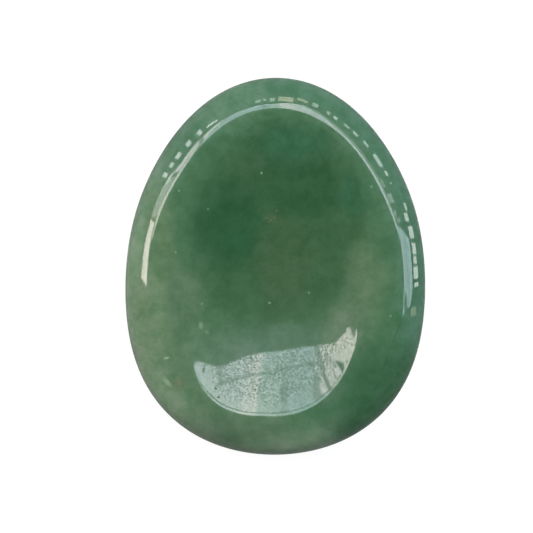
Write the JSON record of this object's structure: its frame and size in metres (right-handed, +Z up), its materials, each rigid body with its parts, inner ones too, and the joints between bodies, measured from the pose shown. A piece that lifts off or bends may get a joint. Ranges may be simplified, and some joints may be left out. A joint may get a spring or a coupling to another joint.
{
  "type": "palm stone",
  "caption": "Egg-shaped polished green stone with a rounded rim and a shallow oval thumb hollow in its upper face, resting on a small flat spot.",
  "frame": {"origin": "under the middle of the outline, on the flat spot that the stone rests on", "axes": "+Y towards the narrow end, +X across the stone, +Z up out of the thumb hollow"},
  "size_m": [0.0358, 0.045, 0.0075],
  "materials": {
    "stone": "polished, milky green and slightly see-through at the edges, softly clouded with a few pale flecks"
  },
  "bodies": {
    "root": {"stone": "stone"}
  },
  "joints": []
}
